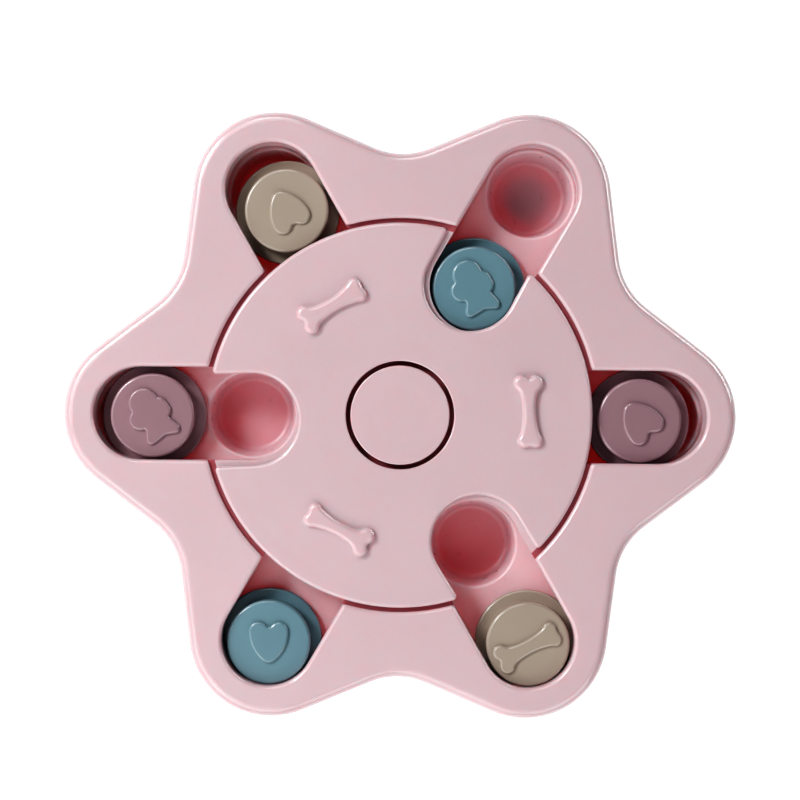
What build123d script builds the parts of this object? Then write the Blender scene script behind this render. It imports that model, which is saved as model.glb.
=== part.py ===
"""Dog puzzle feeder: a six-lobed star with twelve treat cups, six sliders and a turntable.

Frame: millimetres, +Z up, origin on the floor under the middle of the star, +X along the
first channel. Every level is stacked from the floor, so the parts seat on one another.
"""
from build123d import *
import os
from math import acos, atan2, cos, degrees, hypot, radians, sin, sqrt, tan

# ---- star outline in plan -----------------------------------------------------------
tip_radius = 130.0            # middle of the toy to the tip of a lobe
lobe_radius = 31.9            # rounding of a lobe
waist_radius = 101.3          # middle of the toy to the bottom of a valley
valley_radius = 27.7          # rounding of a valley
rim_land = 11.7               # flat land between the end of a slot and the tip

# ---- walls, gaps and fits -----------------------------------------------------------
wall = 2.4                    # outer walls and top plate of cover and tray
thin_wall = 2.0               # skirts, cups, guides and hub walls
running_gap = 0.3             # between a moving piece and what guides it
fit_gap = 0.2                 # between fixed pieces that plug together
edge_round = 3.8              # soft outer edge of the cover
lip_round = 1.5               # upper edges of slots and recess, and of turntable and notches
corner_round = 1.6            # corners of slot mouths and notch mouths, in plan
cover_draft = 1.0             # degrees, outer wall of the cover
tray_draft = 6.0              # degrees, outer wall of the tray

# ---- treat cups in the tray -----------------------------------------------------------
cup_radius = 16.8             # mouth of a cup
cup_draft = 9.0               # degrees, wall of a cup
cup_depth = 13.0
cup_floor_round = 2.5
cup_mouth_round = 1.2
inner_cup_reach = 57.9        # middle of the toy to the middle of an inner cup

# ---- sliders --------------------------------------------------------------------------
knob_radius = 16.25
knob_height = 7.3             # top of the flange to the top of the knob
knob_round = 1.2
flange_radius = 20.3
flange_thickness = 3.0
flange_round = 0.8
side_play = 1.75              # a knob in its slot, and a flange between its guides

# ---- raised figures -------------------------------------------------------------------
motif_height = 1.3            # figure on a knob
motif_round = 1.1
heart_width = 15.6
heart_height = 16.0
heart_lobe = 3.8              # roundings of the lobes, the tip and the cleft
heart_tip = 3.5
heart_cleft = 1.5
fish_length = 22.8
knob_bone_length = 26.8
bone_length = 27.9            # bones on the turntable
bone_wide = 11.8              # over the knuckles of the wide and of the narrow end
bone_narrow = 9.8
bone_shaft = 5.3
bone_hollow = 30.0            # hollow sides of the shaft
bone_neck = 4.0               # rounding between a side and a knuckle
bone_height = 2.4
bone_round = 1.9

# ---- turntable --------------------------------------------------------------------------
disc_radius = 74.3
disc_thickness = 2.0
disc_gap = 1.7                # open ring between turntable and cover
disc_turn = 2.1               # degrees, where the turntable stands
notch_radius = 17.75          # half the width of a notch
notch_reach = 57.1            # middle of the toy to the middle of a notch's round end
bone_reach = 49.7

# ---- hub ----------------------------------------------------------------------------------
hub_hole_radius = 20.9        # hole in the turntable round the cap
cap_radius = 19.1
cap_round = 0.5               # edge of the cap, and of the hole round it
well_depth = 8.0              # top of the turntable to the underside of its bearing lip
lip_width = 4.6               # bearing lip, from the hole inwards
hook_reach = 3.5              # a snap finger's hook over the bearing lip
hook_height = 2.3
finger_count = 4
finger_arc = 45.0             # degrees
finger_start = 9.0            # degrees, middle of the first finger

# ---- deck, guides and feet ----------------------------------------------------------------
deck_thickness = 2.0          # tray deck and cover deck
motif_clearance = 0.3         # top of a motif below the cover deck
guide_height = 5.5
rim_height = 3.5              # locating rim inside the cover
rim_thickness = 1.4
foot_radius = 7.0
foot_height = 3.0
foot_recess = 1.5             # part of a foot that sits in its socket
socket_roof = 2.5             # plastic between a foot and its cup

# ---- screws and their bosses --------------------------------------------------------------
screw_radius = 1.45
screw_length = 14.0
screw_head_radius = 2.9
screw_head_height = 1.8
screw_grip = 6.0              # tray material under the screw head
boss_radius = 4.0             # posts of the cover and of the cap
column_radius = 5.2           # screw columns of the tray
screw_inset = 15.3            # bottom of a valley to a cover screw
rib_thickness = 1.6
rib_depth = 14.0              # below the tray deck

# ---- what each slider carries and where it stands -----------------------------------------
# (share of its travel from the inner stop, share of its side play, figure, and the heading
# of the figure's upper end in degrees)
sliders = [
    (0.814, -0.93, "heart", 310.0),
    (0.010, 0.14, "fish", 119.0),
    (0.756, -0.53, "heart", 300.0),
    (0.875, 0.59, "fish", 126.5),
    (1.000, 0.55, "heart", 89.5),
    (1.000, -0.40, "bone", 208.0),
]
channels = len(sliders)
channel_step = 360 / channels

# ---- levels above the floor ---------------------------------------------------------------
tray_bottom = foot_height - foot_recess
cup_floor = foot_height + socket_roof + thin_wall
deck_top = cup_floor + cup_depth
deck_bottom = deck_top - deck_thickness
flange_bottom = deck_top + running_gap
flange_top = flange_bottom + flange_thickness
skirt_bottom = flange_top + running_gap
knob_top = flange_top + knob_height
cover_deck_top = knob_top + motif_height + motif_clearance
cover_deck_bottom = cover_deck_top - deck_thickness
disc_bottom = cover_deck_top + running_gap
top = disc_bottom + disc_thickness
plate_bottom = top - wall
seam = deck_top - deck_thickness / 2
guide_top = deck_top + guide_height
bearing_bottom = top - well_depth
bearing_top = bearing_bottom + thin_wall
pedestal_top = bearing_bottom - running_gap
hook_bottom = bearing_top + running_gap
cap_bottom = top - wall
boss_top = deck_top + 3.5

# ---- sizes that follow ----------------------------------------------------------------------
slot_half = knob_radius + side_play
pocket_half = flange_radius + side_play
outer_cup_reach = tip_radius - rim_land - slot_half
screw_reach = waist_radius - screw_inset
well_radius = disc_radius + disc_gap
bore_radius = hub_hole_radius - lip_width
finger_radius = bore_radius - running_gap
pilot_radius = screw_radius + 0.05
passage_radius = screw_radius + 0.25
counterbore_radius = screw_head_radius + 0.5
notches = channels // 2


def unit(angle):
    return Vector(cos(radians(angle)), sin(radians(angle)))


def around(count, piece, start=0.0):
    """Copies of a piece evenly turned about the middle of the toy."""
    return [Rot(0, 0, start + 360 / count * k) * piece for k in range(count)]


def drum(radius, low, high, reach=0.0):
    """An upright cylinder from one level to another."""
    return Pos(reach, 0, (low + high) / 2) * Cylinder(radius, high - low)


def prism(sketch, low, high):
    return extrude(Pos(0, 0, low) * sketch, high - low, dir=(0, 0, 1))


def ring(outer, inner, low, high, reach=0.0):
    return drum(outer, low, high, reach) - drum(inner, low, high, reach)


# ---- the star ---------------------------------------------------------------------------------
def star_outline(inset, level):
    """The star drawn in by an inset: lobe arcs and valley arcs joined by their tangents."""
    lobe, valley = lobe_radius - inset, valley_radius + inset
    lobe_centre, valley_centre = tip_radius - lobe_radius, waist_radius + valley_radius
    half_step = channel_step / 2
    away = unit(half_step) * valley_centre - Vector(lobe_centre, 0)
    lean = degrees(atan2(away.Y, away.X) - acos((lobe_radius + valley_radius) / away.length))
    outline = []
    for k in range(channels):
        axis, next_axis = k * channel_step, (k + 1) * channel_step
        centre, next_centre = unit(axis) * lobe_centre, unit(next_axis) * lobe_centre
        valley_middle = unit(axis + half_step) * valley_centre
        outline += [
            ThreePointArc(centre + unit(axis - lean) * lobe, centre + unit(axis) * lobe,
                          centre + unit(axis + lean) * lobe),
            Line(centre + unit(axis + lean) * lobe, valley_middle - unit(axis + lean) * valley),
            ThreePointArc(valley_middle - unit(axis + lean) * valley,
                          valley_middle - unit(axis + half_step) * valley,
                          valley_middle - unit(next_axis - lean) * valley),
            Line(valley_middle - unit(next_axis - lean) * valley,
                 next_centre + unit(next_axis - lean) * lobe),
        ]
    return Pos(0, 0, level) * Face(Wire(outline))


def star(low, low_inset, high, high_inset):
    """A drafted star between two levels."""
    return Solid(loft([star_outline(low_inset, low), star_outline(high_inset, high)],
                      ruled=True).solid().wrapped)


def cover_inset(level):
    return (level - seam) * tan(radians(cover_draft))


def tray_inset(level):
    return fit_gap + (seam - level) * tan(radians(tray_draft))


def channel(half_width):
    """The plan of one channel along +X, round-ended about its two cups."""
    length = outer_cup_reach - inner_cup_reach
    return Pos(inner_cup_reach + length / 2, 0) * SlotCenterToCenter(length, 2 * half_width)


# ---- raised figures ---------------------------------------------------------------------------
def bend(centre, start, end):
    """The shorter arc about a centre from one point to another."""
    middle = ((start + end) / 2 - centre).normalized()
    return ThreePointArc(start, centre + middle * (start - centre).length, end)


def heart():
    """Round lobes carried to a round tip by long arcs, each arc tangent to the next."""
    half = heart_width / 2
    lobe = Vector(half - heart_lobe, heart_height / 2 - heart_lobe)
    tip = Vector(0, heart_tip - heart_height / 2)
    side = (half ** 2 + (lobe.Y - tip.Y) ** 2 - heart_tip ** 2) / (2 * (half - heart_tip))
    belly = Vector(half - side, lobe.Y)
    cleft = Vector(0, lobe.Y + sqrt((heart_lobe + heart_cleft) ** 2 - lobe.X ** 2))
    crease = cleft - Vector(0, heart_cleft)
    crest = lobe + (cleft - lobe).normalized() * heart_lobe
    shoulder = Vector(half, lobe.Y)
    toe = tip + (tip - belly).normalized() * heart_tip
    foot = tip - Vector(0, heart_tip)
    right = [bend(cleft, crease, crest), bend(lobe, crest, shoulder),
             bend(belly, shoulder, toe), bend(tip, toe, foot)]
    return make_face(Wire(right + [edge.mirror(Plane.YZ) for edge in right]))


def meet(first, first_radius, second, second_radius):
    """The point at given distances from two centres, on the left of the way between them."""
    way = second - first
    along = (way.length ** 2 + first_radius ** 2 - second_radius ** 2) / (2 * way.length)
    left = Vector(-way.Y, way.X).normalized()
    return first + way.normalized() * along + left * sqrt(first_radius ** 2 - along ** 2)


def bone(length):
    """A pair of round knuckles at each end, the wide pair at +Y, and a shaft with hollow
    sides between them."""
    wide, narrow, wide_cleft, narrow_cleft = 0.254 * bone_wide, 0.28 * bone_narrow, 1.3, 3.0
    upper = Vector(bone_wide / 2 - wide, length / 2 - wide)
    lower = Vector(bone_narrow / 2 - narrow, narrow - length / 2)
    hollow = Vector(bone_shaft / 2 + bone_hollow, 0)
    neck = meet(hollow, bone_hollow, upper, wide)
    low_neck = meet(lower, narrow, hollow, bone_hollow)
    over = Vector(0, upper.Y + sqrt((wide + wide_cleft) ** 2 - upper.X ** 2))
    under = Vector(0, lower.Y - sqrt((narrow + narrow_cleft) ** 2 - lower.X ** 2))
    crest = upper + (over - upper).normalized() * wide
    low_crest = lower + (under - lower).normalized() * narrow
    right = [bend(over, over - Vector(0, wide_cleft), crest),
             ThreePointArc(crest, upper + unit(50) * wide, neck),
             bend(hollow, neck, low_neck),
             ThreePointArc(low_neck, lower + unit(-50) * narrow, low_crest),
             bend(under, low_crest, under + Vector(0, narrow_cleft))]
    outline = make_face(Wire(right + [edge.mirror(Plane.YZ) for edge in right]))
    necks = outline.vertices().filter_by(
        lambda v: min(abs(abs(v.Y) - abs(neck.Y)), abs(abs(v.Y) - abs(low_neck.Y))) < 0.01)
    return fillet(necks, bone_neck)


def fish():
    """A fish from the side, swimming along +Y: round head, a bump of a fin each side and a
    two-lobed tail, drawn for a length of 22.8 and scaled."""
    tail = Polygon((4, 3), (-4, 3), (-4.6, -2), (-9.7, -9.8), (-0.2, -9.2), (7.2, -13.05),
                   (4.6, -2.5), align=None)
    tail = fillet(tail.vertices().filter_by(lambda v: v.Y < -9), 2.0)
    fins = Pos(-4.75, 1.35) * Circle(4.3) + Pos(4.5, 0.3) * Rot(0, 0, 90) * SlotCenterToCenter(2.6, 6.4)
    figure = Pos(0, 5.75) * Rot(0, 0, -90) * Circle(5.85) + fins + tail
    joins = figure.vertices().filter_by(lambda v: 4 < abs(v.X) < 7 and -5 < v.Y < 7)
    return scale(fillet(joins, 0.7), fish_length / 22.8)


# ---- pieces -----------------------------------------------------------------------------------
def base_tray():
    skin = star(tray_bottom, tray_inset(tray_bottom), seam, tray_inset(seam))
    hollow = star(tray_bottom, tray_inset(tray_bottom) + wall,
                  deck_bottom, tray_inset(deck_bottom) + wall)
    plug = cover_inset(deck_top) + wall + fit_gap
    tray = skin - hollow + star(seam, plug, deck_top, plug)
    tray += (star(deck_top, plug, deck_top + rim_height, plug)
             - star(deck_top, plug + rim_thickness, deck_top + rim_height, plug + rim_thickness))
    tray += around(channels, prism(channel(pocket_half + thin_wall) - channel(pocket_half),
                                   deck_top, guide_top))

    # cups, with a foot socket under each outer one
    taper = tan(radians(cup_draft))
    floor_radius = cup_radius - cup_depth * taper
    under_floor = cup_floor - thin_wall
    shell_radius = floor_radius + thin_wall - thin_wall * taper
    shell_height = deck_bottom - under_floor
    for reach in (inner_cup_reach, outer_cup_reach):
        shell = Cone(shell_radius, shell_radius + shell_height * taper, shell_height)
        tray += around(channels, Pos(reach, 0, (under_floor + deck_bottom) / 2) * shell)
    tray += around(channels, drum(foot_radius + running_gap + thin_wall, tray_bottom,
                                  under_floor, outer_cup_reach))
    tray -= around(channels, drum(foot_radius + running_gap, tray_bottom, foot_height,
                                  outer_cup_reach))
    cavity = Cone(floor_radius, cup_radius, cup_depth)
    cavity = fillet(cavity.edges().sort_by(Axis.Z)[0], cup_floor_round)
    for reach in (inner_cup_reach, outer_cup_reach):
        tray -= around(channels, Pos(reach, 0, (cup_floor + deck_top) / 2) * cavity)
    mouths = tray.edges().filter_by(GeomType.CIRCLE).filter_by(
        lambda e: abs(e.radius - cup_radius) < 0.01 and abs(e.center().Z - deck_top) < 0.01)
    land = abs(outer_cup_reach - inner_cup_reach - 2 * cup_radius)
    tray = fillet(mouths, min(cup_mouth_round, 0.45 * land))

    # ribs, the ring under the pedestal and the screw columns
    ring_radius = bore_radius + lip_width
    rib_start = ring_radius - thin_wall / 2
    rib_end = waist_radius - tray_inset(deck_bottom - rib_depth) - wall / 2
    rib = Pos((rib_start + rib_end) / 2, 0, deck_bottom - rib_depth / 2) * Box(
        rib_end - rib_start, rib_thickness, rib_depth)
    tray += around(channels, rib, channel_step / 2)
    tray += ring(ring_radius, ring_radius - thin_wall, deck_bottom - rib_depth, pedestal_top)
    tray += around(channels, drum(column_radius, deck_top - screw_grip - screw_head_height - 4,
                                  deck_bottom, screw_reach), channel_step / 2)
    tray += drum(column_radius, boss_top - screw_grip - screw_head_height - 4, boss_top)
    for place, seat in ([(Rot(0, 0, channel_step * (k + 0.5)) * Pos(screw_reach, 0, 0), deck_top)
                         for k in range(channels)] + [(Pos(0, 0, 0), boss_top)]):
        tray -= place * drum(passage_radius, seat - screw_grip, seat)
        tray -= place * drum(counterbore_radius, tray_bottom, seat - screw_grip)

    # snap fingers that hook over the turntable's bearing lip
    inside, hook = finger_radius - thin_wall, bore_radius + hook_reach
    profile = make_face(Polyline(
        (inside, 0, deck_top), (finger_radius, 0, deck_top), (finger_radius, 0, hook_bottom),
        (hook, 0, hook_bottom), (hook, 0, hook_bottom + 0.8),
        (finger_radius, 0, hook_bottom + hook_height), (inside, 0, hook_bottom + hook_height),
        (inside, 0, deck_top)))
    finger = revolve(profile, Axis.Z, finger_arc)
    tray += around(finger_count, finger, finger_start - finger_arc / 2)
    return tray


def top_cover():
    cover = star(seam, 0, top, cover_inset(top))
    cover = fillet(cover.faces().sort_by(Axis.Z)[-1].edges(), edge_round)
    cover -= star(seam, wall, plate_bottom, cover_inset(plate_bottom) + wall)
    cover += drum(well_radius + thin_wall, cover_deck_bottom, plate_bottom)
    cover += around(channels, prism(channel(slot_half + thin_wall), skirt_bottom, plate_bottom))

    mouth = Circle(well_radius) + around(channels, channel(slot_half))
    corners = mouth.vertices().filter_by(
        lambda v: abs(hypot(v.X, v.Y) - well_radius) < 0.1)
    mouth = fillet(corners, corner_round)
    cover -= prism(mouth, cover_deck_top, top)
    cover -= around(channels, prism(channel(slot_half), skirt_bottom, cover_deck_top))
    cover -= drum(hub_hole_radius + thin_wall + 2 * running_gap, cover_deck_bottom, top)
    plate = cover.faces().sort_by(Axis.Z)[-1]
    cover = fillet(plate.inner_wires()[0].edges(), lip_round)

    post = (drum(boss_radius, deck_top, plate_bottom, screw_reach)
            - drum(pilot_radius, deck_top, deck_top + screw_length - screw_grip + 1, screw_reach))
    return cover + around(channels, post, channel_step / 2)


def turntable():
    plan = Circle(disc_radius)
    slot_length = disc_radius - notch_reach + notch_radius
    notch = Pos(notch_reach + slot_length / 2, 0) * SlotCenterToCenter(slot_length,
                                                                      2 * notch_radius)
    plan -= around(notches, notch, channel_step)
    plan = fillet(plan.vertices().filter_by(
        lambda v: abs(hypot(v.X, v.Y) - disc_radius) < 0.1), corner_round)
    disc = prism(plan - Circle(hub_hole_radius), disc_bottom, top)
    face = disc.faces().sort_by(Axis.Z)[-1]
    disc = fillet(face.outer_wire().edges(), lip_round)
    disc = fillet(disc.faces().sort_by(Axis.Z)[-1].inner_wires()[0].edges(), cap_round)
    disc += ring(hub_hole_radius + thin_wall, hub_hole_radius, bearing_bottom, disc_bottom)
    disc += ring(hub_hole_radius + thin_wall, bore_radius, bearing_bottom, bearing_top)
    relief = prism(bone(bone_length), top, top + bone_height)
    relief = fillet(relief.faces().sort_by(Axis.Z)[-1].edges(), bone_round)
    disc += around(notches, Pos(bone_reach, 0, 0) * relief)
    return Rot(0, 0, disc_turn) * disc


def hub_cap():
    plate = drum(cap_radius, cap_bottom, top)
    plate = fillet(plate.faces().sort_by(Axis.Z)[-1].edges(), cap_round)
    plug = finger_radius - thin_wall - running_gap
    cap = plate + ring(plug, plug - thin_wall, boss_top, cap_bottom)
    cap += drum(boss_radius, boss_top, cap_bottom)
    cap -= drum(pilot_radius, boss_top, boss_top + screw_length - screw_grip + 0.5)
    for quarter in range(4):
        web = Pos((boss_radius + plug - thin_wall) / 2, 0, (cap_bottom + boss_top + 3) / 2) * Box(
            plug - boss_radius, rib_thickness, cap_bottom - boss_top - 3)
        cap += Rot(0, 0, 90 * quarter) * web
    return cap


def slider(motif, heading):
    """A hollow knob on a wide flange, its figure turned to a heading; stands at the origin."""
    body = drum(knob_radius, flange_bottom, knob_top)
    body = fillet(body.faces().sort_by(Axis.Z)[-1].edges(), knob_round)
    flange = drum(flange_radius, flange_bottom, flange_top)
    body += fillet(flange.faces().sort_by(Axis.Z)[-1].edges(), flange_round)
    body -= drum(knob_radius - thin_wall, flange_bottom, knob_top - thin_wall)
    relief = prism(motif, knob_top, knob_top + motif_height)
    relief = fillet(relief.faces().sort_by(Axis.Z)[-1].edges(), motif_round)
    return body + Rot(0, 0, heading - 90) * relief


def rubber_foot():
    foot = drum(foot_radius, 0, foot_height)
    return chamfer(foot.faces().sort_by(Axis.Z)[0].edges(), 0.5)


def screw(seat):
    """A pan-head screw driven upwards, its head against the seat."""
    head = drum(screw_head_radius, seat - screw_head_height, seat)
    head = fillet(head.faces().sort_by(Axis.Z)[0].edges(), 0.6)
    return head + drum(screw_radius, seat, seat + screw_length)


def slider_stand(travel, side):
    """Reach and side offset of a slider between its stops."""
    play = side_play - running_gap
    offset = side * play
    inner = inner_cup_reach - sqrt(play ** 2 - offset ** 2)
    outer = outer_cup_reach + sqrt(play ** 2 - offset ** 2)
    return inner + travel * (outer - inner), offset


figures = {"heart": heart(), "fish": fish(), "bone": Pos(-0.8, 0.5) * bone(knob_bone_length)}

nodes = {
    "base_tray": base_tray(),
    "top_cover": top_cover(),
    "turntable": turntable(),
    "hub_cap": hub_cap(),
}
for k, (travel, side, motif, heading) in enumerate(sliders):
    place = Rot(0, 0, k * channel_step) * Pos(*slider_stand(travel, side), 0)
    nodes[f"slider_{k + 1}"] = place * slider(figures[motif], heading - k * channel_step)
    nodes[f"rubber_foot_{k + 1}"] = Rot(0, 0, k * channel_step) * Pos(
        outer_cup_reach, 0, 0) * rubber_foot()
nodes["cover_screws"] = Compound(around(
    channels, Pos(screw_reach, 0, 0) * screw(deck_top - screw_grip), channel_step / 2))
nodes["hub_screw"] = screw(boss_top - screw_grip)

os.makedirs("parts", exist_ok=True)
for name, shape in nodes.items():
    export_step(shape, f"parts/{name}.step")
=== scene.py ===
"""Looks of the dog puzzle feeder toy: moulded plastics, screws, rubber feet, light and camera."""
import math

import bmesh
import bpy
from mathutils import Matrix, Vector


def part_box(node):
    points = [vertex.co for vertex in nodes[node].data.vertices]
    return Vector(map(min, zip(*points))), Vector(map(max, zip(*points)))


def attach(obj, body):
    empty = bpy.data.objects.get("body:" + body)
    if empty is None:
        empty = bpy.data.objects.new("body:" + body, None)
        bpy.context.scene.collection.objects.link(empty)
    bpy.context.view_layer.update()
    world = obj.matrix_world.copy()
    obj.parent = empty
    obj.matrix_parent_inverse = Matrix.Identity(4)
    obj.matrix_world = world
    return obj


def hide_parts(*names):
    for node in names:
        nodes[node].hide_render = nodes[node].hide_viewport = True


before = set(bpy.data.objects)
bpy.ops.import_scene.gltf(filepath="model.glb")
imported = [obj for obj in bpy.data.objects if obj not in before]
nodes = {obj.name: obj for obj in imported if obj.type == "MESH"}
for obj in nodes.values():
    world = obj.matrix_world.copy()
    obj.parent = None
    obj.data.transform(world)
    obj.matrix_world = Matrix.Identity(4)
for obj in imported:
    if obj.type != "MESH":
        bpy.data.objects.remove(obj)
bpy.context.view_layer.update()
scene = bpy.context.scene

# ---- sizes of the toy, in metres -------------------------------------------------------------
MM = 0.001
VALLEY = math.radians(60)                      # from one valley of the star to the next
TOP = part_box("top_cover")[1].z                 # the cover's upper face
DECK = TOP - 14.5 * MM                         # the tray's upper face, round the cups
CUP_FLOOR = TOP - 27.5 * MM
PEDESTAL = TOP - 9.0 * MM                      # just below the top of the hub's pedestal
CUP_HALF = 17.5 * MM                           # just past a cup's mouth, across its channel
CUP_REACH = 118.5 * MM                         # just past the outer cups
DISC_GAP = (73.6 * MM, 76.3 * MM)              # the open ring round the turntable, with its edges
HUB_GAP = 21.3 * MM                            # just past the open ring round the cap

# ---- sizes of the screws ---------------------------------------------------------------------
HEAD_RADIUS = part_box("hub_screw")[1].x
HEAD_HEIGHT = 1.8 * MM
HEAD_EDGE = 0.1 * MM                           # the bevel under the head
FACE_RADIUS = 1.9 * MM                         # the flat middle of the head, with the recess
FACE_START, FACE_STEP, FACE_RINGS = 0.02 * MM, 0.17 * MM, 12
DOME_RISE, DOME_RINGS = 0.9 * MM, 7            # from the flat middle to the rim of the head
ARM_HALF, ARM_REACH = 0.36 * MM, 1.62 * MM     # arms of the cross recess
RECESS_DEPTH, RECESS_SLOPE = 1.15 * MM, 0.35   # deepest in the middle
CREST, CORE, PITCH = 1.45 * MM, 1.05 * MM, 1.25 * MM   # radii and pitch of the thread
RIDGE_SLOPE = 3.6                              # a ridge takes 1 / 1.8 of the pitch
THREAD_START, THREAD_RINGS = 0.3 * MM, 72      # counted from the head's seat
POINT_LENGTH, POINT_TIP = 2.4 * MM, 0.08       # the point tapers to this share of its radius
SEGMENTS = 40                                  # round a screw
SHARP = math.radians(38)                       # sharper bends than this show as edges
SCREW_REACH = (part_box("cover_screws")[1].x - HEAD_RADIUS) / math.cos(VALLEY / 2)

# ---- the picture -----------------------------------------------------------------------------
FRAME_PIXELS = 800
COVER_SCALE = 2598.0                           # pixels to a metre on the cover's upper face
CAMERA_RISE = 0.72                             # camera above the cover's upper face
CENTRE_X, CENTRE_Y = 400.01, 415.13            # where the toy's middle stands in the picture
PICTURE_TURN = 0.51                            # degrees that the toy is turned clockwise
SENSOR = 36.0
TONE = ((0.02, 0.006), (0.08, 0.045), (0.2, 0.165), (0.4, 0.395))   # a soft toe in the shadows

# ---- colours (linear) ------------------------------------------------------------------------
PINK = (0.70, 0.508, 0.54)
PINK_TRAY = (0.71, 0.485, 0.52)
PINK_CUP_SHADE = (0.62, 0.385, 0.425)               # painted shade: redder and darker down the cups, full on their floors
PINK_SHADE = (0.42, 0.12, 0.14)                # painted shade, down in the open rings round the turntable and the cap
BLUE = (0.15, 0.258, 0.302)
BEIGE = (0.382, 0.319, 0.262)
MAUVE = (0.308, 0.192, 0.216)

# ---- what the plastics share -----------------------------------------------------------------
FLOW_SCALE, PEEL_SCALE, SLOW_SCALE = 24.0, 300.0, 16.0   # noise, in spots to a metre
FLOW_DULL, FLOW_BRIGHT = 0.975, 1.02           # the colour varies between these shares of itself
PEEL_HEIGHT = 0.0000012                        # orange peel, in metres
PEEL_ROUGHNESS = 0.03
PLASTIC_IOR = 1.55
LIGHT_REACH = (1.0, 0.15, 0.15)                # red light travels farthest in the plastic
GLOW_DEPTH = 0.01
STRAIGHT = [(0.0, 0.0), (1.0, 1.0)]            # a ramp that only clamps a share

# ---- where the painted shade begins, and its fade to full ------------------------------------
# levels below which the open rings get painted shade
COVER_SHADE_LEVEL, TRAY_SHADE_LEVEL = TOP - 1.3 * MM, TOP - 1.0 * MM
DISC_SHADE_LEVEL, HUB_SHADE_LEVEL = TOP - 1.2 * MM, TOP - 0.8 * MM
SHADE_FADE = 1.0 * MM

# ---- sink marks and rubber, in metres --------------------------------------------------------
DISC_RINGS, CAP_RINGS = (0.0285, 0.0435, 0.067), (0.0105,)
POST_LINE = 0.12                               # a flow line's depth, as a share of its dimple's
WAFFLE = 4200.0                                # radians to a metre, for a pitch of 1.5 mm
WAFFLE_HEIGHT, GRAIN_HEIGHT = 0.00006, 0.00002

# ---- floor and lights ------------------------------------------------------------------------
FLOOR_RADIUS = 3.0
FLOOR_BASE, FLOOR_GLOW = 0.25, 0.92            # white mostly by its own light, so shadows are faint
WORLD_STRENGTH = 0.02
# name, azimuth and elevation in degrees, distance, width, height, share of full white
SOFT_PANELS = (
    ("key_panel", 145, 38, 1.2, 0.35, 0.30, 0.43),
    ("upper_panel", 100, 38, 1.2, 0.45, 0.30, 0.11),
    ("left_panel", 175, 40, 1.2, 0.45, 0.30, 0.05),
    ("lower_left_panel", 215, 35, 1.0, 0.60, 0.50, 0.15),
    ("lower_panel", 250, 30, 0.8, 0.60, 0.50, 0.17),
    ("lower_right_panel", 300, 28, 0.9, 0.60, 0.50, 0.15),
    ("rim_panel", 20, 12, 0.9, 0.50, 0.30, 0.015),
    ("overhead_panel", 235, 62, 1.2, 0.60, 0.60, 0.05),
)
GLOSS_PANELS = (
    ("gloss_panel", 135, 45, 1.0, 1.00, 0.70, 0.25),
    ("gloss_rim", 35, 7, 0.9, 0.80, 0.25, 0.09),
)


# ---- shader helpers --------------------------------------------------------------------------
def material(name):
    """A new material, its node tree, its shader and the place on the part."""
    made = bpy.data.materials.new(name)
    made.use_nodes = True
    tree = made.node_tree
    place = tree.nodes.new("ShaderNodeTexCoord").outputs["Object"]
    return made, tree, tree.nodes["Principled BSDF"], place


def maths(tree, operation, first, second=None):
    """A maths node; each operand is a socket or a number."""
    made = tree.nodes.new("ShaderNodeMath")
    made.operation = operation
    for socket, value in zip(made.inputs, (first, second)):
        if isinstance(value, (int, float)):
            socket.default_value = value
        elif value is not None:
            tree.links.new(value, socket)
    return made.outputs[0]


def chained(tree, operation, first, *others):
    """One maths operation over several operands, from the left."""
    for other in others:
        first = maths(tree, operation, first, other)
    return first


def total(tree, *terms):
    """The sum of sockets or numbers."""
    return chained(tree, "ADD", *terms)


def times(tree, *factors):
    """The product of sockets or numbers."""
    return chained(tree, "MULTIPLY", *factors)


def noise(tree, place, scale, detail=2.0, rough=0.5):
    """Noise between 0 and 1; the scale is in spots to a metre."""
    made = tree.nodes.new("ShaderNodeTexNoise")
    made.inputs["Scale"].default_value = scale
    made.inputs["Detail"].default_value = detail
    made.inputs["Roughness"].default_value = rough
    tree.links.new(place, made.inputs["Vector"])
    return made.outputs["Fac"]


def mix(tree, share, first, second):
    """A colour between two colours, by a socket; each colour is a socket or three numbers."""
    made = tree.nodes.new("ShaderNodeMix")
    made.data_type = "RGBA"
    tree.links.new(share, made.inputs[0])
    for socket, colour in ((made.inputs[6], first), (made.inputs[7], second)):   # colours A and B
        if isinstance(colour, tuple):
            socket.default_value = (*colour, 1)
        else:
            tree.links.new(colour, socket)
    return made.outputs[2]


def ramp(tree, share, stops):
    """A value that follows straight runs between (position, value) stops."""
    made = tree.nodes.new("ShaderNodeValToRGB")
    tree.links.new(share, made.inputs[0])
    ends = made.color_ramp.elements
    for element, (position, value) in zip(ends, (stops[0], stops[-1])):
        element.position, element.color = position, (value, value, value, 1)
    for position, value in stops[1:-1]:
        element = ends.new(position)
        element.color = (value, value, value, 1)
    return made.outputs[0]


def bumped(tree, shader, height, distance=1.0):
    """Shades a surface as if it had a height, in metres times the distance."""
    made = tree.nodes.new("ShaderNodeBump")
    made.inputs["Strength"].default_value = 1.0
    made.inputs["Distance"].default_value = distance
    tree.links.new(height, made.inputs["Height"])
    tree.links.new(made.outputs[0], shader.inputs["Normal"])


def scaled(colour, by):
    """A colour times a number, up to white."""
    return tuple(min(channel * by, 1.0) for channel in colour)


def bell(tree, away, width):
    """1 where the distance is 0, falling softly to 0 over about a width."""
    share = maths(tree, "DIVIDE", away, width)
    return maths(tree, "POWER", 2.0, times(tree, share, share, -1.0))


def parted(tree, place):
    """The x, y and z of a place."""
    made = tree.nodes.new("ShaderNodeSeparateXYZ")
    tree.links.new(place, made.inputs[0])
    return tuple(made.outputs)


def reach_of(tree, place):
    """Distance from the hub's axis."""
    x, y, _ = parted(tree, place)
    return maths(tree, "SQRT", total(tree, times(tree, x, x), times(tree, y, y)))


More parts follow.
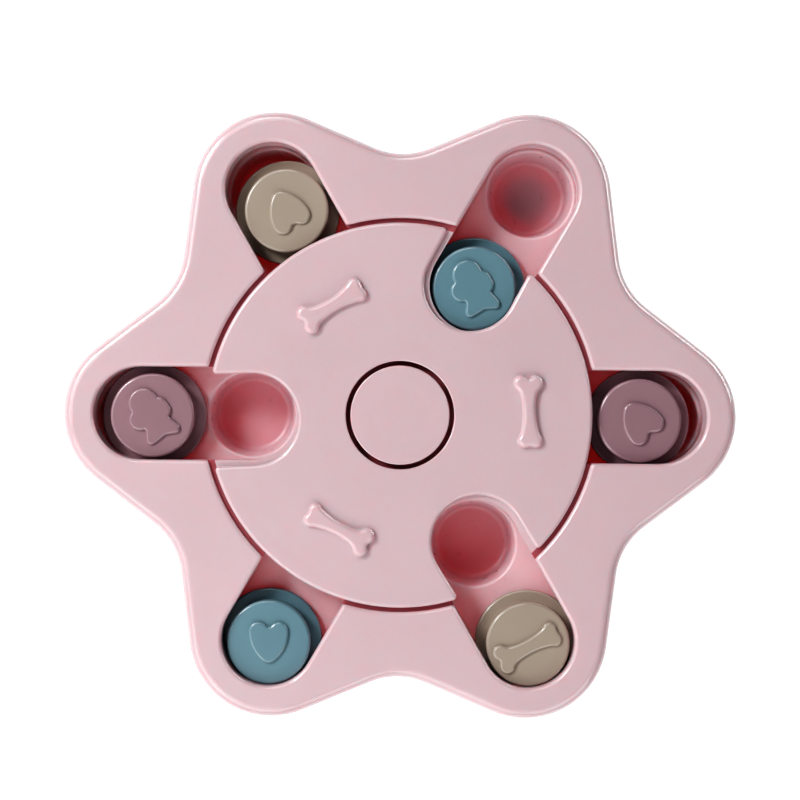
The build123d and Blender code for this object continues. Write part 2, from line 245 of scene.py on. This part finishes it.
def sector(tree, place, turned):
    """Distances along and across the nearest of six rays.

    The rays run through the valleys where turned is 0, and along the channels where it is 0.5."""
    x, y, _ = parted(tree, place)
    reach = reach_of(tree, place)
    share = total(tree, maths(tree, "DIVIDE", maths(tree, "ARCTAN2", y, x), VALLEY), 4 + turned)
    turn = times(tree, maths(tree, "SUBTRACT", maths(tree, "FRACT", share), 0.5), VALLEY)
    return (times(tree, reach, maths(tree, "COSINE", turn)),
            times(tree, reach, maths(tree, "SINE", turn)))


def ring_sinks(radii, depth, width):
    """Shallow round sink lines about the hub's axis, as a moulded plate shows them."""
    def height(tree, place):
        reach = reach_of(tree, place)
        dips = [bell(tree, maths(tree, "SUBTRACT", reach, radius), width) for radius in radii]
        return times(tree, total(tree, *dips), -depth)
    return height


def post_sinks(reach_of_post, depth, width):
    """A dimple over each screw post and a faint flow line through it, one in each valley."""
    def height(tree, place):
        along, across = sector(tree, place, 0)
        along = maths(tree, "SUBTRACT", along, reach_of_post)
        spot = times(tree, bell(tree, across, width), bell(tree, along, width))
        line = times(tree, bell(tree, across, 0.25 * width), bell(tree, along, 3 * width))
        return times(tree, total(tree, spot, times(tree, line, POST_LINE)), -depth)
    return height


def deeper(tree, height, level, fade, *limits):
    """A share that rises from 0 at a level to 1 a fade below it, where every limit is 1."""
    depth = maths(tree, "DIVIDE", maths(tree, "SUBTRACT", level, height), fade)
    return times(tree, ramp(tree, depth, STRAIGHT), *limits)


def below(level, nearest, farthest, lowest=0.0):
    """How deep a point is below a level, in a ring round the hub's axis, above the lowest level, as
    the share of painted shade there.
    """
    def share(tree, place):
        reach, height = reach_of(tree, place), parted(tree, place)[2]
        return deeper(tree, height, level, SHADE_FADE,
                      maths(tree, "GREATER_THAN", reach, nearest),
                      maths(tree, "LESS_THAN", reach, farthest),
                      maths(tree, "GREATER_THAN", height, lowest))
    return share


def in_cups(tree, place):
    """How deep a point is between the deck and a cup's floor, as the share of painted shade there.
    """
    along, across = sector(tree, place, 0.5)
    return deeper(tree, parted(tree, place)[2], DECK, DECK - CUP_FLOOR,
                  maths(tree, "LESS_THAN", maths(tree, "ABSOLUTE", across), CUP_HALF),
                  maths(tree, "LESS_THAN", along, CUP_REACH))


# ---- materials -------------------------------------------------------------------------------
def plastic(name, colour, roughness=0.2, wave=0.00016, sinks=None, glow=0.5, shine=0.75, deep=()):
    """Glossy injection-moulded plastic: slow waviness, faint orange peel, faint flow colour.

    Each pair in deep is a colour and the share of it: painted shade, redder and darker, for places
    where the light comes through the plastic itself and looks redder."""
    made, tree, shader, place = material(name)
    flow = noise(tree, place, FLOW_SCALE, detail=3.0, rough=0.55)
    peel = noise(tree, place, PEEL_SCALE, detail=1.0)
    slow = noise(tree, place, SLOW_SCALE, detail=1.0, rough=0.4)
    tint = mix(tree, ramp(tree, flow, [(0.3, 0.0), (0.7, 1.0)]),
               scaled(colour, FLOW_DULL), scaled(colour, FLOW_BRIGHT))
    # painted shade: each deep colour is mixed over the base colour by its share
    for redder, share in deep:
        tint = mix(tree, share(tree, place), tint, redder)
    tree.links.new(tint, shader.inputs["Base Color"])
    rough = ramp(tree, peel, [(0.25, roughness - PEEL_ROUGHNESS),
                              (0.75, roughness + PEEL_ROUGHNESS)])
    tree.links.new(rough, shader.inputs["Roughness"])
    heights = [times(tree, slow, wave), times(tree, peel, PEEL_HEIGHT)]
    if sinks is not None:
        heights.append(sinks(tree, place))
    bumped(tree, shader, total(tree, *heights))
    shader.inputs["IOR"].default_value = PLASTIC_IOR
    shader.inputs["Specular IOR Level"].default_value = shine
    shader.inputs["Subsurface Weight"].default_value = glow
    shader.inputs["Subsurface Radius"].default_value = LIGHT_REACH
    shader.inputs["Subsurface Scale"].default_value = GLOW_DEPTH * glow
    return made


def rubber():
    """Pale silicone rubber with a fine moulded waffle, a little dusty."""
    made, tree, shader, place = material("foot_rubber_pale")
    dust = noise(tree, place, 180.0, detail=4.0, rough=0.6)
    grain = noise(tree, place, 2600.0, detail=4.0, rough=0.6)
    x, y, _ = parted(tree, place)
    waffle = times(tree, *(maths(tree, "SINE", times(tree, way, WAFFLE)) for way in (x, y)))
    tint = mix(tree, ramp(tree, dust, [(0.4, 0.0), (0.75, 1.0)]),
               (0.63, 0.62, 0.605), (0.52, 0.505, 0.485))
    tree.links.new(tint, shader.inputs["Base Color"])
    tree.links.new(ramp(tree, dust, [(0.3, 0.5), (0.7, 0.68)]), shader.inputs["Roughness"])
    bumped(tree, shader, total(tree, times(tree, waffle, WAFFLE_HEIGHT),
                               times(tree, grain, GRAIN_HEIGHT)))
    shader.inputs["Subsurface Weight"].default_value = 0.3
    shader.inputs["Subsurface Scale"].default_value = 0.003
    return made


def steel():
    """Zinc-plated steel with a slight stain and scratches."""
    made, tree, shader, place = material("screw_zinc")
    stain = noise(tree, place, 700.0, detail=4.0, rough=0.6)
    scratches = noise(tree, place, 2500.0, detail=3.0, rough=0.7)
    tint = mix(tree, stain, (0.50, 0.49, 0.46), (0.66, 0.65, 0.62))
    tree.links.new(tint, shader.inputs["Base Color"])
    tree.links.new(ramp(tree, stain, [(0.3, 0.24), (0.7, 0.42)]), shader.inputs["Roughness"])
    bumped(tree, shader, scratches, distance=0.00001)
    shader.inputs["Metallic"].default_value = 1.0
    return made


# the deep entries paint shade into the pink plastics: in the open rings and down the cups
finishes = {
    "top_cover": plastic("cover_pink", PINK,
                         sinks=post_sinks(SCREW_REACH, depth=0.00006, width=0.0035),
                         deep=[(PINK_SHADE, below(COVER_SHADE_LEVEL, *DISC_GAP))]),
    "base_tray": plastic("tray_pink", PINK_TRAY, roughness=0.3, glow=0.68, shine=0.45,
                         # painted shade down the cups, and in the open ring round the hub
                         deep=[(PINK_CUP_SHADE, in_cups),
                               (PINK_SHADE, below(TRAY_SHADE_LEVEL, 0.0, HUB_GAP, PEDESTAL))]),
    "turntable": plastic("turntable_pink", PINK,
                         sinks=ring_sinks(DISC_RINGS, depth=0.000035, width=0.0016),
                         deep=[(PINK_SHADE, below(DISC_SHADE_LEVEL, *DISC_GAP)),
                               (PINK_SHADE, below(HUB_SHADE_LEVEL, 0.0, HUB_GAP))]),
    "hub_cap": plastic("cap_pink", PINK,
                       sinks=ring_sinks(CAP_RINGS, depth=0.00004, width=0.0012),
                       deep=[(PINK_SHADE, below(HUB_SHADE_LEVEL, 0.0, HUB_GAP))]),
}
for number, colour in enumerate((MAUVE, BLUE, BEIGE, MAUVE, BLUE, BEIGE), start=1):
    finishes[f"slider_{number}"] = plastic(f"slider_{number}_plastic", colour,
                                           wave=0.00008, glow=0.0)
foot_finish = rubber()
for number in range(1, 7):
    finishes[f"rubber_foot_{number}"] = foot_finish
for name, finish in finishes.items():
    mesh = nodes[name].data
    mesh.materials.clear()
    mesh.materials.append(finish)
steel_finish = steel()


# ---- screws ----------------------------------------------------------------------------------
def recess(x, y):
    """Depth of the cross recess in a screw's head at a point on its face."""
    across, along = sorted((abs(x), abs(y)))
    if across > ARM_HALF or along > ARM_REACH:
        return 0.0
    return RECESS_DEPTH - RECESS_SLOPE * along


def screw_rings(low, seat, high):
    """(size, level, kind) of the rings of a pan-head screw from its face to its point.

    The size is a radius, and for a ring of the thread a share of the thread's radius."""
    rings = [(FACE_START + step * FACE_STEP, low, "face") for step in range(FACE_RINGS)]
    dome = HEAD_RADIUS - FACE_RADIUS
    for step in range(1, DOME_RINGS + 1):
        lean = math.radians(90 * step / DOME_RINGS)
        rings.append((FACE_RADIUS + dome * math.sin(lean), low + DOME_RISE * (1 - math.cos(lean)),
                      "plain"))
    rings += [(HEAD_RADIUS, seat - HEAD_EDGE, "plain"), (HEAD_RADIUS - HEAD_EDGE, seat, "plain"),
              (CREST, seat, "plain"), (CORE, seat + THREAD_START, "plain")]
    for step in range(1, THREAD_RINGS + 1):
        level = seat + THREAD_START + (high - seat - THREAD_START) * step / THREAD_RINGS
        taper = min(1.0, (high - level) / POINT_LENGTH + POINT_TIP)
        rings.append((taper, level, "thread"))
    return rings


def add_screw(shape, place, low, seat, high):
    """Adds one closed screw to a mesh in the making: low is its face, and high its point."""
    loops = []
    for size, level, kind in screw_rings(low, seat, high):
        loop = []
        for step in range(SEGMENTS):
            turn = 2 * math.pi * step / SEGMENTS
            radius, height = size, level
            if kind == "thread":
                share = ((level - seat) / PITCH - step / SEGMENTS) % 1.0
                ridge = max(0.0, 1.0 - abs(share - 0.5) * RIDGE_SLOPE)
                radius = size * (CORE + (CREST - CORE) * ridge)
            x, y = radius * math.cos(turn), radius * math.sin(turn)
            if kind == "face":
                height += recess(x, y)
            loop.append(shape.verts.new(place @ Vector((x, y, height))))
        loops.append(loop)
    for first, second in zip(loops, loops[1:]):
        for step in range(SEGMENTS):
            after = (step + 1) % SEGMENTS
            shape.faces.new((first[step], first[after], second[after], second[step]))
    shape.faces.new(loops[0])
    shape.faces.new(loops[-1])


def screws(name, node, places):
    """Pan-head screws with a cross recess and a coarse thread, in place of a node's plain ones."""
    low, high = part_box(node)[0].z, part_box(node)[1].z
    shape = bmesh.new()
    for place in places:
        add_screw(shape, place, low, low + HEAD_HEIGHT, high)
    bmesh.ops.recalc_face_normals(shape, faces=shape.faces)
    for face in shape.faces:
        face.smooth = True
    mesh = bpy.data.meshes.new(name)
    shape.to_mesh(mesh)
    shape.free()
    mesh.set_sharp_from_angle(angle=SHARP)
    mesh.materials.append(steel_finish)
    made = bpy.data.objects.new(name, mesh)
    scene.collection.objects.link(made)
    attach(made, "base")
    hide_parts(node)


def spun(angle):
    """A turn about the vertical axis."""
    return Matrix.Rotation(angle, 4, "Z")


# one screw in each valley; no two stop with their recess at the same angle
screws("cover_screw_set", "cover_screws",
       [spun(VALLEY * (number + 0.5)) @ Matrix.Translation((SCREW_REACH, 0, 0))
        @ spun(0.7 * number) for number in range(6)])
screws("hub_screw_pan_head", "hub_screw", [spun(0.4)])


# ---- floor, light and camera -----------------------------------------------------------------
def floor():
    """A wide floor that looks white and takes hardly any shadow, as in the cut-out photograph."""
    mesh = bpy.data.meshes.new("floor")
    shape = bmesh.new()
    bmesh.ops.create_circle(shape, cap_ends=True, radius=FLOOR_RADIUS, segments=64)
    shape.to_mesh(mesh)
    shape.free()
    made = bpy.data.objects.new("floor", mesh)
    scene.collection.objects.link(made)
    finish = bpy.data.materials.new("floor_white")
    finish.use_nodes = True
    shader = finish.node_tree.nodes["Principled BSDF"]
    shader.inputs["Base Color"].default_value = (FLOOR_BASE, FLOOR_BASE, FLOOR_BASE, 1)
    shader.inputs["Roughness"].default_value = 0.9
    shader.inputs["Emission Color"].default_value = (1, 1, 1, 1)
    shader.inputs["Emission Strength"].default_value = FLOOR_GLOW
    mesh.materials.append(finish)


def panel(name, azimuth, elevation, distance, width, height, share, gloss_only=False):
    """A panel of light aimed at the middle of the toy, as strong as a share of full white.

    A panel for gloss only shows in reflections and lights nothing else."""
    rise = math.sin(math.radians(elevation))
    flat = math.cos(math.radians(elevation)) * distance
    light = bpy.data.lights.new(name, "AREA")
    light.shape = "RECTANGLE"
    light.size, light.size_y = width, height
    light.energy = share * (math.pi * distance) ** 2 / rise
    made = bpy.data.objects.new(name, light)
    made.location = (flat * math.cos(math.radians(azimuth)),
                     flat * math.sin(math.radians(azimuth)), TOP + rise * distance)
    made.rotation_euler = (made.location - Vector((0, 0, TOP))).to_track_quat("Z", "Y").to_euler()
    made.visible_diffuse = not gloss_only
    scene.collection.objects.link(made)


floor()
for settings in SOFT_PANELS:
    panel(*settings)
for settings in GLOSS_PANELS:
    panel(*settings, gloss_only=True)

world = bpy.data.worlds.new("studio")
world.use_nodes = True
background = world.node_tree.nodes["Background"]
background.inputs["Color"].default_value = (1, 1, 1, 1)
background.inputs["Strength"].default_value = WORLD_STRENGTH
scene.world = world

camera = bpy.data.objects.new("camera", bpy.data.cameras.new("camera"))
scene.collection.objects.link(camera)
camera.location = (0, 0, TOP + CAMERA_RISE)
camera.rotation_euler = (0, 0, math.radians(PICTURE_TURN))
camera.data.sensor_width = SENSOR
camera.data.lens = SENSOR * CAMERA_RISE * COVER_SCALE / FRAME_PIXELS
camera.data.shift_x = (FRAME_PIXELS / 2 - CENTRE_X) / FRAME_PIXELS
camera.data.shift_y = (CENTRE_Y - FRAME_PIXELS / 2) / FRAME_PIXELS
scene.camera = camera

scene.view_settings.view_transform = "Standard"
scene.view_settings.look = "None"
scene.view_settings.use_curve_mapping = True
tone = scene.view_settings.curve_mapping
for position, value in TONE:
    tone.curves[3].points.new(position, value)       # the curve of all three colours together
tone.update()
